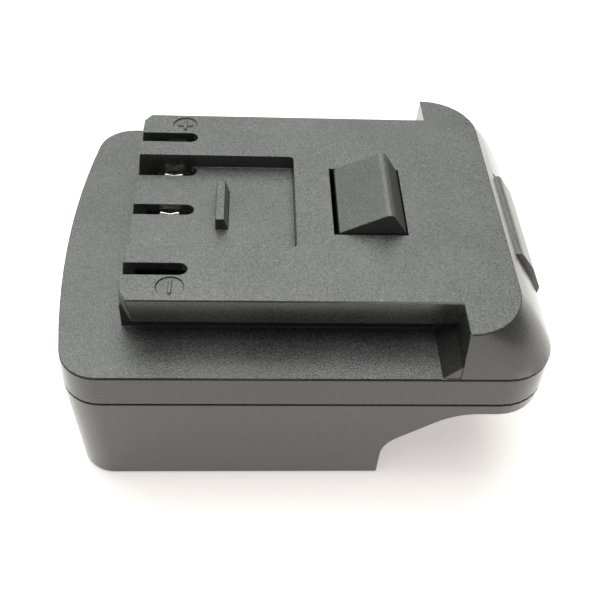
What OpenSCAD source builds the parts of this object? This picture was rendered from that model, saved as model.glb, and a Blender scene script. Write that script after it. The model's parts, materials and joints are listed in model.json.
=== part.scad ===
// Tool battery adapter: a slide-on rail block with a rocker latch on top and a pack receptacle below.
// Millimetres. +X runs towards the release button, +Z is up, the origin is the bottom centre of the box.

/* [Case] */
// Length from the bowed end to the straight end
case_len = 102.5; // [97:0.1:117]
// Width at the parting line
case_w = 80; // [74:0.1:90]
// Height of the rail block's top
case_h = 46.9; // [45:0.1:52]
// Height of the deck that the rail block stands on
deck_h = 35.2; // [33:0.1:36.5]
// Height of the line where the two shells meet
parting_h = 26.8; // [24:0.1:28]
// Thickness of the shell walls
wall = 2.2; // [1.6:0.1:2.8]
// Thickness of the top plate
top_t = 2; // [1.6:0.1:2.2]
// Radius of the bowed end
bow_r = 200; // [120:1:400]
// Corner radius at the bowed end
bow_corner_r = 8.5; // [6:0.1:12]
// Corner radius at the straight end
end_corner_r = 10.5; // [8:0.1:14]
// Draft of the lower shell on each side
lower_draft = 1; // [0.3:0.1:1.6]
// Draft of the upper band on each side
band_draft = 0.3; // [0.1:0.1:0.8]
// Rounding of the lower shell's bottom edge
edge_r = 0.6; // [0.3:0.1:1]
// Rounding of the crisp edges along the top
crisp_r = 0.25; // [0.1:0.05:0.5]
// Depth of the fine seam under the deck's edge
seam_d = 0.3; // [0.1:0.05:0.5]
// Height of the shadow gap at the parting line
gap_h = 0.45; // [0.2:0.05:0.8]
// Depth of the shadow gap at the parting line
gap_d = 0.6; // [0.2:0.05:1]
// Height of the locating lip inside the parting line
lip_h = 1.6; // [0.8:0.1:2.4]

/* [Rail block] */
// Width over the rail flanges
rail_w = 60.2; // [58:0.1:64]
// Width of the web below the flanges
web_w = 52.6; // [51:0.1:54]
// Thickness of the rail flanges
flange_t = 6.5; // [5.5:0.1:7]
// Height of the chamfer under each flange's edge
flange_chamfer_h = 1.1; // [0.4:0.1:2]
// Depth of the chamfer under each flange's edge
flange_chamfer_d = 0.4; // [0.1:0.1:1]
// Distance from the bowed end to the rail block
block_start = 15.4; // [13.8:0.1:16.8]
// Length of the lead-in cut at the rail's end
lead_x = 1.4; // [0.8:0.1:3]
// Width of the lead-in cut at the rail's end
lead_y = 2.2; // [1:0.1:3]
// Draft of the block's end, from its top to the deck
block_draft = 0.7; // [0:0.1:1]

/* [Hump] */
// Step from the case's side to the hump's foot
hump_inset = 0.4; // [0.3:0.05:1]
// Lean of each side of the hump, from the deck to its top
hump_lean = 1.45; // [0.5:0.05:2.5]
// Length of the hump's top
hump_top_len = 12.2; // [11:0.1:13]
// Run of the slanted front wall, from the hump's top to the straight end
front_run = 8.1; // [7.5:0.1:9]
// Corner radius of the hump's top
hump_corner_r = 12; // [9:0.1:14]
// Swell of the slanted front wall
front_swell = 0.5; // [0.1:0.1:0.8]
// Length of the ramp where each rail groove ends
ramp_len = 3.6; // [2:0.1:5]
// Height of the ramp where each rail groove ends
ramp_h = 3.4; // [2:0.1:4.5]

/* [Terminal deck] */
// Width of a terminal slot
slot_w = 3.2; // [3:0.1:3.6]
// Length of a terminal slot
slot_len = 12.8; // [11.5:0.1:13.5]
// Distance between the outer terminal slots
slot_pitch = 42.8; // [41:0.1:43.2]
// Place of the inner signal slot off the middle
signal_y = 13.2; // [12:0.1:13.2]
// Distance from the shallow recess to the latch window
recess_gap = 8; // [5:0.1:11]
// Width of the shallow recess
recess_w = 29.6; // [29.5:0.1:31]
// Depth of the shallow recess
recess_depth = 3.3; // [2.4:0.1:3.8]
// Radius of the shallow recess's inner corners
recess_r = 0.9; // [0.4:0.1:2]
// Distance from the block's end to the key rib
rib_start = 17.75; // [16:0.05:21]
// Thickness of the key rib at its top
rib_t = 1.9; // [1.2:0.1:3]
// Lean of the key rib's back, from its top to the recess
rib_lean = 0.8; // [0:0.1:1.5]
// Length of the key rib across the block
rib_len = 12.8; // [8:0.1:16]
// Distance of the key rib's top below the block's top
rib_drop = 0.3; // [0:0.1:1]
// Radius of the polarity discs
disc_r = 2.75; // [2:0.05:3]
// Depth of the polarity discs
disc_depth = 0.35; // [0.2:0.05:0.6]
// Distance from the block's end to the polarity discs
disc_start = 9.7; // [7:0.1:12]
// Distance of the polarity discs from the rail's edge
disc_edge = 3.8; // [3.3:0.1:4]

/* [Latch] */
// Distance from the latch window to the hump
window_in = 8.6; // [7.5:0.1:9.5]
// Length of the latch window
window_len = 15.5; // [15:0.1:16.5]
// Width of the latch hook
hook_w = 21; // [17:0.1:22]
// Height of the hook above the rail block
hook_h = 5; // [4:0.1:5.1]
// Gap before the hook that its swing needs
hook_lead_gap = 1; // [0.9:0.05:1.4]
// Gap between the latch and the openings it moves in
latch_gap = 0.3; // [0.2:0.05:0.4]
// Thickness of the latch arm
arm_t = 3.4; // [2.6:0.1:4]
// Width of the release button
button_w = 26; // [23.5:0.1:28]
// How far the button stands out of the slanted wall
button_out = 2; // [1.6:0.1:2.3]
// How far the button stands out past the case's end
button_reach = 1.8; // [1.4:0.1:2.2]
// Height of the button's top below the block's top
button_drop = 3; // [2.8:0.1:3.4]
// Height of the button's foot above the parting line
button_foot = 4.6; // [4.3:0.1:5.2]
// Distance of the latch pivot from the case's end
pivot_in = 5.6; // [5.4:0.1:6.5]
// Height of the latch pivot above the parting line
pivot_up = 3.7; // [3.5:0.1:4]
// Radius of the latch trunnions
trunnion_r = 2; // [1.6:0.1:2.2]
// Running clearance of the trunnions
trunnion_gap = 0.05; // [0.02:0.01:0.09]

/* [Latch springs] */
// Mean radius of a spring
spring_r = 2.6; // [2.3:0.1:3.2]
// Wire radius of a spring
spring_wire_r = 0.35; // [0.2:0.05:0.45]
// Curls of a spring
spring_curls = 7; // [5:1:9]
// Distance between the two springs
spring_pitch = 14; // [10:0.5:16]
// Distance of the springs from the latch window
spring_start = 6; // [4:0.5:8]

/* [Pack receptacle] */
// Thickness of the receptacle's roof
roof_t = 3.1; // [2.6:0.1:3.4]
// Distance from the bowed end to the receptacle's stop
stop_start = 13.1; // [12.6:0.1:14.8]
// Thickness of the receptacle's side walls at the parting line
side_t = 5; // [4:0.1:6]
// Reach of the receptacle's rails
rail_reach = 4.5; // [3:0.1:6]
// Thickness of the receptacle's rails
ledge_t = 5; // [4:0.1:6]
// Distance from the straight end to the side wall's foot
foot_in = 33.1; // [30:0.1:42]
// Height where the side wall's end starts to curve
foot_h = 8; // [6:0.1:9]
// Radius of the curve above the foot
foot_r = 8.5; // [6:0.1:10]
// Slope of the side wall's end in degrees
foot_slope = 40; // [35:1:50]
// Radius of the curve under the roof
brow_r = 13; // [8:0.1:15]

/* [Contacts and blades] */
// Thickness of the circuit board
board_t = 1.6; // [1:0.1:2]
// Distance of the board's top below the block's top
board_drop = 11.3; // [11:0.1:12]
// Length of the circuit board
board_len = 18; // [17:0.1:20]
// Sheet thickness of the contact clips
clip_t = 0.5; // [0.3:0.05:0.6]
// Length of a contact clip
clip_len = 6.5; // [5:0.1:8]
// Height of a contact clip
clip_h = 6.4; // [5.5:0.1:6.8]
// Thickness of a pack blade
blade_t = 0.8; // [0.5:0.1:1]
// Height of a pack blade
blade_h = 6; // [4:0.1:7]
// Length of a pack blade past its holder
blade_len = 13; // [8:0.1:16]
// Distance between the power blades
blade_pitch = 26; // [25:0.1:27]
// Thickness of the blade holder
holder_t = 6.5; // [6:0.1:8]
// Width of the blade holder
holder_w = 36; // [34:0.1:40]
// Height of the blade holder
holder_h = 14; // [12:0.1:16]

/* [Screws] */
// Shank radius of a case screw
case_screw_r = 1.25; // [1:0.05:1.4]
// Head radius of a case screw
case_head_r = 2.5; // [2:0.1:2.7]
// Head height of a case screw
case_head_h = 1.7; // [1.2:0.1:1.8]
// Depth of the deep screw wells at the bowed end
well_depth = 20; // [15:0.5:21]
// Distance of the deep screw wells from the case's side
well_side = 8.5; // [8.2:0.1:9]
// Distance of the end screws from the case's side
end_screw_side = 5.8; // [5.6:0.1:6.2]
// Shank radius of a small screw
small_screw_r = 1; // [0.7:0.05:1.1]
// Head radius of a small screw
small_head_r = 1.9; // [1.6:0.1:2]
// Head height of a small screw
small_head_h = 1.5; // [1:0.1:1.6]
// Clearance of a screw in its hole
screw_gap = 0.05; // [0.02:0.01:0.09]

/* [Hidden] */

$fn = 48;
// Overlap that keeps joined and cut shapes from sharing a face
eps = 0.01;
cut = 1;
// Steps of an outline's rounded corner and of its bowed end
corner_steps = 8;
bow_steps = 12;

// Main places along the case
left_x = -(case_len + button_reach) / 2;
right_x = left_x + case_len;
block_x = left_x + block_start;
hump_front_x = right_x - front_run;
hump_x = hump_front_x - hump_top_len;
window_x1 = hump_x - window_in;
window_x0 = window_x1 - window_len;
recess_x = window_x0 - recess_gap;
stop_x = left_x + stop_start;
foot_x = right_x - foot_in;

// Main widths
hump_base_w = case_w - 2 * hump_inset;
hump_top_w = hump_base_w - 2 * hump_lean;
recept_w = case_w - 2 * side_t;
mouth_w = recept_w - 2 * rail_reach;
disc_y = rail_w / 2 - disc_edge;

// Main heights
roof_z = parting_h - roof_t;
plate_z = case_h - top_t;
flange_z = case_h - flange_t;
deck_under_z = deck_h - wall;
recess_z = case_h - recess_depth;
board_top_z = case_h - board_drop;
board_z = board_top_z - board_t;
slot_floor_gap = 1;
slot_floor_z = board_top_z + slot_floor_gap;

// Inside of the web
web_in = web_w / 2 - wall;

// Clearances: wide holes for screws, sheet metal in its slots, the board and the lip in the shell
hole_gap = 0.2;
well_gap = 0.4;
sheet_gap = 0.05;
board_gap = 0.5;
lip_gap = 0.15;

// Terminal slots from far to near
slot_ys = [slot_pitch / 2, signal_y, 0, -slot_pitch / 2];

// Latch places
pivot_x = right_x - pivot_in;
pivot_z = parting_h + pivot_up;
window_w = hook_w + 2 * latch_gap;
button_top_z = case_h - button_drop;
button_foot_z = parting_h + button_foot;
ear_t = 3;
ear_wall = 1.8;
ear_y = button_w / 2 + 2 * latch_gap;
spring_x = window_x1 + spring_start;
arm_top_z = plate_z - latch_gap;
arm_z = arm_top_z - arm_t;
spigot_gap = 0.6;
spigot_r = spring_r - spring_wire_r - spigot_gap;
spigot_h = 3;

// Blade places, from far to near
blade_ys = [blade_pitch / 2, 0, -blade_pitch / 2];
holder_x = stop_x;
holder_z = roof_z - holder_h;
blade_z = roof_z - holder_h / 2 - blade_h / 2;
tab_in = 1.2;
tab_x = holder_x + tab_in;
tab_len = 3.4;
tab_gap = 1.5;
tab_top_z = deck_under_z - tab_gap;
holder_screw_x = holder_x + holder_t / 2;
holder_screw_y = blade_pitch / 4;

// Board and screw places
clip_start = 4.2;
board_x = block_x + wall + board_gap;
board_w = 2 * (web_in - board_gap);
board_boss_r = 2.4;
board_boss_gap = 1;
board_boss_start = slot_len + board_boss_gap + board_boss_r;
board_screw_x = block_x + board_boss_start;
board_screw_y = 18.5;
boss_r = 3.2;
boss_rib_t = 2;
well_in = 4.6;
well_x = stop_x - well_in;
well_y = case_w / 2 - well_side;
end_screw_in = 13.4;
end_screw_x = right_x - end_screw_in;
end_screw_y = case_w / 2 - end_screw_side;
case_screw_len = 6.5;
small_screw_len = 7;
tip_gap = 0.5;

// Lead sizes, and the route that the three leads share: down from the board, one bend, along the roof
power_lead_r = 1.2;
signal_lead_r = 0.7;
lead_sides = 8;
lead_steps = 6;
lead_board_in = 3;
lead_gap = 0.4;
lead_stub = 0.4;
lead_tab_in = 0.25;
lead_run_x = board_x + board_len - lead_board_in;
lead_run_z = parting_h + power_lead_r + lead_gap;
lead_bend_r = board_z - lead_run_z - lead_stub;

// Points of an arc
function arc_pts(c, r, a0, a1, n) =
    [for (i = [0:n]) let (a = a0 + (a1 - a0) * i / n) c + r * [cos(a), sin(a)]];

// Outline of the case, drawn in by d all round
function case_pts(d) =
    let (w = case_w / 2 - d,
         r_bow = bow_r - d,
         r_left = bow_corner_r - d,
         r_end = end_corner_r - d,
         bow_cx = left_x + bow_r,
         left_cx = bow_cx - sqrt(pow(r_bow - r_left, 2) - pow(w - r_left, 2)),
         end_cx = right_x - end_corner_r,
         a = atan2(w - r_left, bow_cx - left_cx))
    concat(
        arc_pts([end_cx, r_end - w], r_end, -90, 0, corner_steps),
        arc_pts([end_cx, w - r_end], r_end, 0, 90, corner_steps),
        arc_pts([left_cx, w - r_left], r_left, 90, 180 - a, corner_steps),
        arc_pts([bow_cx, 0], r_bow, 180 - a * 0.95, 180 + a * 0.95, bow_steps),
        arc_pts([left_cx, r_left - w], r_left, 180 + a, 270, corner_steps));

// Width of the hump at share t of its height
function hump_w(t) = hump_base_w + (hump_top_w - hump_base_w) * pow(t, 1.5);

// Outline of the hump at share t of its height, drawn in by d all round
function hump_pts(t, d) =
    let (w = hump_w(t) / 2 - d,
         x1 = right_x + (hump_front_x - right_x) * t + front_swell * 4 * t * (1 - t) - d,
         r = end_corner_r + (hump_corner_r - end_corner_r) * t - d)
    concat(
        [[hump_x + d, -w]],
        arc_pts([x1 - r, r - w], r, -90, 0, corner_steps),
        arc_pts([x1 - r, w - r], r, 0, 90, corner_steps),
        [[hump_x + d, w]]);

// Outline of the rail flanges, drawn in by d, with the lead-in cuts grown by g and the end moved out by e
function flange_pts(d, g, e) =
    let (w = rail_w / 2 - d, x0 = block_x + d - e, x1 = hump_x + wall)
    [[x1, -w], [x1, w], [x0 + lead_x * g, w], [x0, w - lead_y * g],
     [x0, lead_y * g - w], [x0 + lead_x * g, -w]];

// Points of the side wall's end, from the foot to the roof
function side_end_pts() =
    let (turn = 90 - foot_slope,
         c1 = [foot_x + foot_r, foot_h],
         p1 = c1 + foot_r * [-cos(turn), sin(turn)],
         zs = roof_z - brow_r * (1 - cos(foot_slope)),
         xs = p1[0] + (zs - p1[1]) / tan(foot_slope),
         c2 = [xs + brow_r * sin(foot_slope), roof_z - brow_r])
    concat(
        arc_pts(c1, foot_r, 180, 180 - turn, corner_steps),
        arc_pts(c2, brow_r, 90 + foot_slope, 90, corner_steps));

// Ring frames and faces of a tube along a path, with n sides, capped at both ends
function unit(v) = v / norm(v);
function tangent(p, i) = unit(p[min(i + 1, len(p) - 1)] - p[max(i - 1, 0)]);
function ring(c, t, r, n, ref) =
    let (u = unit(cross(t, ref)), v = cross(t, u))
    [for (k = [0:n - 1]) c + r * (cos(360 * k / n) * u + sin(360 * k / n) * v)];
function tube_faces(m, n) = concat(
    [for (i = [0:m - 2], k = [0:n - 1])
        let (a = i * n + k, b = i * n + (k + 1) % n)
        [a, b + n, b]],
    [for (i = [0:m - 2], k = [0:n - 1])
        let (a = i * n + k, b = i * n + (k + 1) % n)
        [a, a + n, b + n]],
    [for (k = [1:n - 2]) [0, k, k + 1]],
    [for (k = [1:n - 2]) let (e = (m - 1) * n) [e, e + k + 1, e + k]]);
module tube(path, r, n, ref) {
    rings = [for (i = [0:len(path) - 1]) ring(path[i], tangent(path, i), r, n, ref)];
    polyhedron([for (q = rings, p = q) p], tube_faces(len(path), n), convexity = 8);
}

// A thin slice of an outline at height z, for blending
module slice(pts, z) translate([0, 0, z]) linear_extrude(eps) polygon(pts);

// An outline between two heights
module slab(pts, z0, z1) translate([0, 0, z0]) linear_extrude(z1 - z0) polygon(pts);

// A profile in X and Z, w wide across the middle
module profile(pts, w) translate([0, w / 2, 0]) rotate([90, 0, 0]) linear_extrude(w) polygon(pts);

// A box between two corners
module box(a, b) translate(a) cube(b - a);

// Mirrored copies on the far and near side
module both_sides() {
    children();
    mirror([0, 1, 0]) children();
}

// A screw that points up, with the underside of its head at the origin and a cross recess
module screw(shank_r, len, head_r, head_h) {
    cross_len = head_r * 1.2;
    cross_w = head_r * 0.24;
    cross_depth = head_h / 2;
    cylinder(r = shank_r, h = len);
    difference() {
        translate([0, 0, -head_h]) cylinder(r = head_r, h = head_h);
        for (turn = [0, 90])
            rotate(turn) translate([-cross_len / 2, -cross_w / 2, -head_h - cut])
                cube([cross_len, cross_w, cross_depth + cut]);
    }
}

// Places of the case screws: deep wells at the bowed end, shallow seats at the straight end
module at_wells() both_sides() translate([well_x, well_y, 0]) children();
module at_end_screws() both_sides() translate([end_screw_x, end_screw_y, 0]) children();

// Band between the parting line and the seam, and the thin edge of the deck above the seam
module band() {
    slab(case_pts(gap_d), parting_h, parting_h + gap_h + eps);
    hull() {
        slice(case_pts(0), parting_h + gap_h);
        slice(case_pts(band_draft), deck_h - 2 * seam_d);
        slice(case_pts(band_draft + seam_d), deck_h - seam_d);
    }
    hull() {
        slice(case_pts(band_draft + seam_d), deck_h - seam_d - eps);
        slice(case_pts(band_draft), deck_h - seam_d / 2);
        slice(case_pts(band_draft + seam_d / 2), deck_h - eps);
    }
}

// Rail block: web and flanges, with lead-in cuts that grow downwards
module rail_block() {
    box([block_x - block_draft, -web_w / 2, deck_h - cut], [hump_x + cut, web_w / 2, flange_z + cut]);
    hull() {
        slice(flange_pts(flange_chamfer_d, 2, block_draft + flange_chamfer_d), flange_z);
        slice(flange_pts(0, 1.8, block_draft / 2), flange_z + flange_chamfer_h);
        slice(flange_pts(0, 1, 0), case_h - crisp_r);
        slice(flange_pts(crisp_r, 1, 0), case_h - eps);
    }
}

// Hump: its outline shrinks upwards, and its front wall slants and swells
module hump() {
    hull() {
        slice(hump_pts(0, seam_d), deck_h - seam_d);
        for (t = [0, 0.25, 0.5, 0.75])
            slice(hump_pts(t, 0), deck_h + (case_h - deck_h) * t);
        slice(hump_pts(1, 0), case_h - crisp_r);
        slice(hump_pts(1, crisp_r), case_h - eps);
    }
}

// Ramp that closes the end of a rail groove, with its end in line with the hump's side
module groove_ramp() {
    foot_y = (hump_w(0) - seam_d) / 2;
    top_y = (hump_w(ramp_h / (case_h - deck_h)) - seam_d) / 2;
    y0 = web_w / 2 - cut;
    x1 = hump_x + cut;
    hull() {
        slice([[hump_x - ramp_len, y0], [x1, y0], [x1, foot_y], [hump_x - ramp_len, foot_y]], deck_h - eps);
        slice([[hump_x, y0], [x1, y0], [x1, top_y], [hump_x, top_y]], deck_h + ramp_h - eps);
    }
}

// Outer form of the upper shell
module upper_outer() {
    band();
    rail_block();
    hump();
    both_sides() groove_ramp();
}

// Hollow inside of the upper shell
module upper_inner() {
    inner_t = (plate_z - deck_h) / (case_h - deck_h);
    slab(case_pts(wall), parting_h - cut, deck_under_z);
    box([block_x + wall, -web_in, deck_under_z - cut], [hump_x + wall + cut, web_in, plate_z]);
    hull() {
        slice(hump_pts(0, wall), deck_under_z - cut);
        slice(hump_pts(0, wall), deck_h);
        slice(hump_pts(inner_t / 2, wall), deck_h + (plate_z - deck_h) / 2);
        slice(hump_pts(inner_t, wall * 1.2), plate_z - eps);
    }
}

// Ear that carries a latch trunnion, and the slot that the trunnion enters from below
module ear_solid() {
    box([pivot_x - trunnion_r - ear_wall, ear_y, parting_h + latch_gap],
        [right_x - wall + eps, ear_y + ear_t, deck_h + cut]);
}
module ear_slot() {
    slot_r = trunnion_r + trunnion_gap;
    translate([pivot_x, ear_y - cut, pivot_z]) rotate([-90, 0, 0]) cylinder(r = slot_r, h = ear_t + 2 * cut);
    box([pivot_x - slot_r, ear_y - cut, parting_h - cut], [pivot_x + slot_r, ear_y + ear_t + cut, pivot_z]);
}

// Terminal slot, open at the block's end
module terminal_slot(y) {
    x1 = block_x + slot_len;
    box([left_x, y - slot_w / 2, slot_floor_z], [x1 - slot_w / 2, y + slot_w / 2, case_h + cut]);
    translate([x1 - slot_w / 2, y, slot_floor_z]) cylinder(d = slot_w, h = case_h + cut - slot_floor_z);
}

// Shallow recess, open at the block's end
module recess_space() {
    h = case_h + cut - recess_z;
    y = recess_w / 2 - recess_r;
    x = recess_x - recess_r;
    box([left_x, -recess_w / 2, recess_z], [x, recess_w / 2, recess_z + h]);
    box([left_x, -y, recess_z], [recess_x, y, recess_z + h]);
    both_sides() translate([x, y, recess_z]) cylinder(r = recess_r, h = h);
}

// Key rib across the recess, with a leaning back
module key_rib() {
    x0 = block_x + rib_start;
    x1 = x0 + rib_t;
    top_z = case_h - rib_drop;
    profile([[x0, recess_z - eps], [x1 + rib_lean, recess_z - eps], [x1, top_z], [x0, top_z]], rib_len);
}

// Raised polarity marks, level with the block's top
module polarity_marks() {
    bar = disc_r * 1.24;
    bar_w = disc_r * 0.24;
    x = block_x + disc_start;
    z = case_h - disc_depth - eps;
    for (y = [disc_y, -disc_y])
        box([x - bar_w / 2, y - bar / 2, z], [x + bar_w / 2, y + bar / 2, case_h - eps]);
    box([x - bar / 2, disc_y - bar_w / 2, z], [x + bar / 2, disc_y + bar_w / 2, case_h - eps]);
}

module upper_case() color("#3a3a38") {
    opening_w = button_w + 2 * latch_gap;
    boss_top = deck_under_z + eps;
    difference() {
        union() {
            difference() {
                upper_outer();
                upper_inner();
            }
            box([block_x + wall - eps, -recess_w / 2 - wall, recess_z - top_t],
                [recess_x + wall, recess_w / 2 + wall, plate_z + eps]);
            at_wells() translate([0, 0, parting_h]) cylinder(r = boss_r, h = boss_top - parting_h);
            at_end_screws() {
                translate([0, 0, parting_h]) cylinder(r = boss_r, h = boss_top - parting_h);
                box([-boss_rib_t / 2, 0, parting_h],
                    [boss_rib_t / 2, case_w / 2 - wall / 2 - band_draft - end_screw_y, boss_top]);
            }
            both_sides() translate([board_screw_x, board_screw_y, board_top_z])
                cylinder(r = board_boss_r, h = plate_z + eps - board_top_z);
            both_sides() ear_solid();
        }
        recess_space();
        for (y = slot_ys) terminal_slot(y);
        both_sides() translate([block_x + disc_start, disc_y, case_h - disc_depth])
            cylinder(r = disc_r, h = disc_depth + cut);
        box([window_x0, -window_w / 2, plate_z - cut], [window_x1, window_w / 2, case_h + cut]);
        box([hump_front_x - wall, -opening_w / 2, button_foot_z - latch_gap],
            [right_x + cut, opening_w / 2, button_top_z + 1.2 * latch_gap]);
        both_sides() ear_slot();
        at_wells() translate([0, 0, parting_h - cut])
            cylinder(r = case_screw_r + screw_gap, h = case_screw_len + cut);
        at_end_screws() translate([0, 0, parting_h - cut])
            cylinder(r = case_screw_r + screw_gap, h = case_screw_len + cut);
        both_sides() translate([board_screw_x, board_screw_y, board_top_z - cut])
            cylinder(r = small_screw_r + screw_gap, h = small_screw_len + cut);
    }
    key_rib();
    polarity_marks();
}

// Outer form of the lower shell, with the side walls cut away under the roof
module lower_outer() {
    difference() {
        hull() {
            slice(case_pts(lower_draft + edge_r), 0);
            slice(case_pts(lower_draft + edge_r * 0.3), edge_r * 0.3);
            slice(case_pts(lower_draft), edge_r);
            slice(case_pts(0), parting_h - eps);
        }
        profile(concat(
            [[foot_x - edge_r, -cut]],
            arc_pts([foot_x - edge_r, edge_r], edge_r, -90, 0, corner_steps),
            side_end_pts(),
            [[right_x + cut, roof_z], [right_x + cut, -cut]]), case_w + 2 * cut);
    }
}

// Lip inside the parting line, with gaps for the bosses, the ribs and the latch
module locating_lip() {
    lip_d = wall + lip_gap;
    lip_t = 1;
    room = 2 * lip_gap;
    top_z = parting_h + lip_h + cut;
    difference() {
        slab(case_pts(lip_d), parting_h - cut, parting_h + lip_h);
        slab(case_pts(lip_d + lip_t), parting_h, top_z);
        at_wells() translate([0, 0, parting_h]) cylinder(r = boss_r + room, h = lip_h + cut);
        at_end_screws() translate([0, 0, parting_h]) cylinder(r = boss_r + room, h = lip_h + cut);
        at_end_screws() box([-boss_rib_t / 2 - room, 0, parting_h], [boss_rib_t / 2 + room, case_w, top_z]);
        box([pivot_x - trunnion_r - 2 * ear_wall, -ear_y - ear_t - room, parting_h],
            [right_x, ear_y + ear_t + room, top_z]);
    }
}

// Posts that close the trunnion ears, and spigots that hold the springs
module latch_supports() {
    post_top_z = pivot_z - trunnion_r - trunnion_gap;
    both_sides() box([pivot_x - trunnion_r + latch_gap, ear_y + latch_gap, parting_h - cut],
        [pivot_x + trunnion_r - latch_gap, ear_y + ear_t - latch_gap, post_top_z]);
    both_sides() translate([spring_x, spring_pitch / 2, parting_h - cut])
        cylinder(r = spigot_r, h = spigot_h + cut);
}

// Space for the pack's rail head, open at the bottom and at the straight end
module receptacle() {
    box([stop_x, -recept_w / 2, ledge_t], [right_x + cut, recept_w / 2, roof_z]);
    box([stop_x, -mouth_w / 2, -cut], [right_x + cut, mouth_w / 2, ledge_t + cut]);
}

// Pocket in the roof that the pack's own latch snaps into
module pack_catch() {
    catch_in = 24;
    catch_len = 6;
    catch_w = 18;
    catch_skin = 1;
    box([right_x - catch_in, -catch_w / 2, roof_z - cut],
        [right_x - catch_in + catch_len, catch_w / 2, parting_h - catch_skin]);
}

// Hollow between the bowed end and the receptacle's stop
module end_pocket() {
    half_w = well_y - boss_r - wall / 2;
    bow_sag = bow_r - sqrt(pow(bow_r, 2) - pow(half_w, 2));
    box([left_x + bow_sag + lower_draft + wall, -half_w, wall], [stop_x - wall, half_w, parting_h + cut]);
}

module lower_case() color("#333331") {
    head_seat_h = case_head_h + hole_gap;
    difference() {
        union() {
            lower_outer();
            locating_lip();
            latch_supports();
        }
        receptacle();
        pack_catch();
        end_pocket();
        at_wells() {
            translate([0, 0, -cut]) cylinder(r = case_head_r + well_gap, h = well_depth + cut);
            cylinder(r = case_screw_r + hole_gap, h = parting_h + cut);
        }
        at_end_screws() {
            translate([0, 0, roof_z - cut]) cylinder(r = case_head_r + hole_gap, h = head_seat_h + cut);
            translate([0, 0, roof_z]) cylinder(r = case_screw_r + hole_gap, h = roof_t + cut);
        }
        for (y = blade_ys)
            box([tab_x - 2 * sheet_gap, y - blade_t / 2 - 2 * sheet_gap, roof_z - cut],
                [tab_x + tab_len + 2 * sheet_gap, y + blade_t / 2 + 2 * sheet_gap, parting_h + cut]);
        both_sides() translate([holder_screw_x, holder_screw_y, roof_z - cut])
            cylinder(r = small_screw_r + hole_gap, h = roof_t + 2 * cut);
    }
}

// Side outline of the hook and its arm: a ramp, a rounded ridge, a steep face and the arm below
module hook_profile() {
    hook_x0 = window_x0 + hook_lead_gap;
    hook_x1 = window_x1 - latch_gap;
    ridge_r = 1.6;
    ridge_in = 4.1;
    ridge = [hook_x1 - ridge_in, case_h + hook_h - ridge_r];
    arm_end = hump_front_x - 2 * wall;
    polygon(concat(
        [[hook_x0 + latch_gap, arm_z], [hook_x0, case_h - top_t / 2], [hook_x0, case_h]],
        arc_pts(ridge, ridge_r, 117, 33, corner_steps),
        [[hook_x1, case_h], [hook_x1, arm_top_z], [arm_end, arm_top_z],
         [arm_end + wall, button_top_z], [hump_front_x, button_top_z - arm_t], [arm_end, arm_z]]));
}

// Side outline of the button and the plate that carries it down to the pivot
module button_profile() {
    slope = (right_x - hump_front_x) / (case_h - deck_h);
    top_x = hump_front_x + slope * button_drop + button_out;
    mid_z = (deck_h + button_top_z) / 2;
    mid_x = hump_front_x + slope * (case_h - mid_z) + front_swell + button_out * 0.75;
    reach_x = right_x + button_reach;
    lip = 0.6;
    foot_round = 1.2;
    polygon(concat(
        [[pivot_x, button_foot_z]],
        arc_pts([reach_x - foot_round, button_foot_z + foot_round], foot_round, -90, 0, corner_steps),
        [[reach_x, button_foot_z + 2 * foot_round], [mid_x, mid_z], [top_x + lip / 3, button_top_z - lip],
         [top_x - lip, button_top_z], [hump_front_x - wall, button_top_z], [hump_front_x - wall, arm_z],
         [pivot_x - trunnion_r, pivot_z]]));
}
module extrude_across(w) translate([0, w / 2, 0]) rotate([90, 0, 0]) linear_extrude(w) children();

module release_latch() color("#30302f") {
    hub_wall = 0.7;
    hub_r = trunnion_r + hub_wall;
    trunnion_len = 2 * (ear_y + ear_t - hole_gap);
    flange_gap = 1;
    flange_x0 = window_x1 + flange_gap;
    flange_x1 = hump_front_x - 2 * wall;
    extrude_across(hook_w) hook_profile();
    extrude_across(button_w) button_profile();
    extrude_across(button_w) translate([pivot_x, pivot_z]) circle(r = hub_r);
    extrude_across(trunnion_len) translate([pivot_x, pivot_z]) circle(r = trunnion_r);
    box([flange_x0, -button_w / 2, arm_z], [flange_x1, button_w / 2, arm_top_z]);
    both_sides() translate([spring_x, spring_pitch / 2, arm_z + eps - spigot_h])
        cylinder(r = spigot_r, h = spigot_h);
}

// Compression spring between the roof and the latch arm, with straight ends one wire across
spring_lead = 2 * spring_wire_r;
spring_seat_gap = 0.05;
spring_len = arm_z - parting_h - spring_seat_gap;
spring_rings = 8;
function spring_path() =
    let (rise = spring_len - 2 * spring_lead, n = spring_curls * spring_rings)
    concat(
        [[spring_r, 0, 0]],
        [for (i = [0:n])
            [spring_r * cos(360 * i / spring_rings), spring_r * sin(360 * i / spring_rings),
             spring_lead + rise * i / n]],
        [[spring_r, 0, spring_len]]);
function spring_gap() =
    let (p = spring_path(), n = len(p))
    min([for (i = [0:n - 1], j = [i + spring_rings / 2:1:n - 1]) norm(p[i] - p[j])]) - 2 * spring_wire_r;
echo(spring_gap = spring_gap());

module latch_spring(y) color("#b9bcc0")
    translate([spring_x, y, parting_h]) tube(spring_path(), spring_wire_r, 6, [0.31, 0.2, 0.93]);
module latch_spring_near() latch_spring(-spring_pitch / 2);
module latch_spring_far() latch_spring(spring_pitch / 2);

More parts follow.
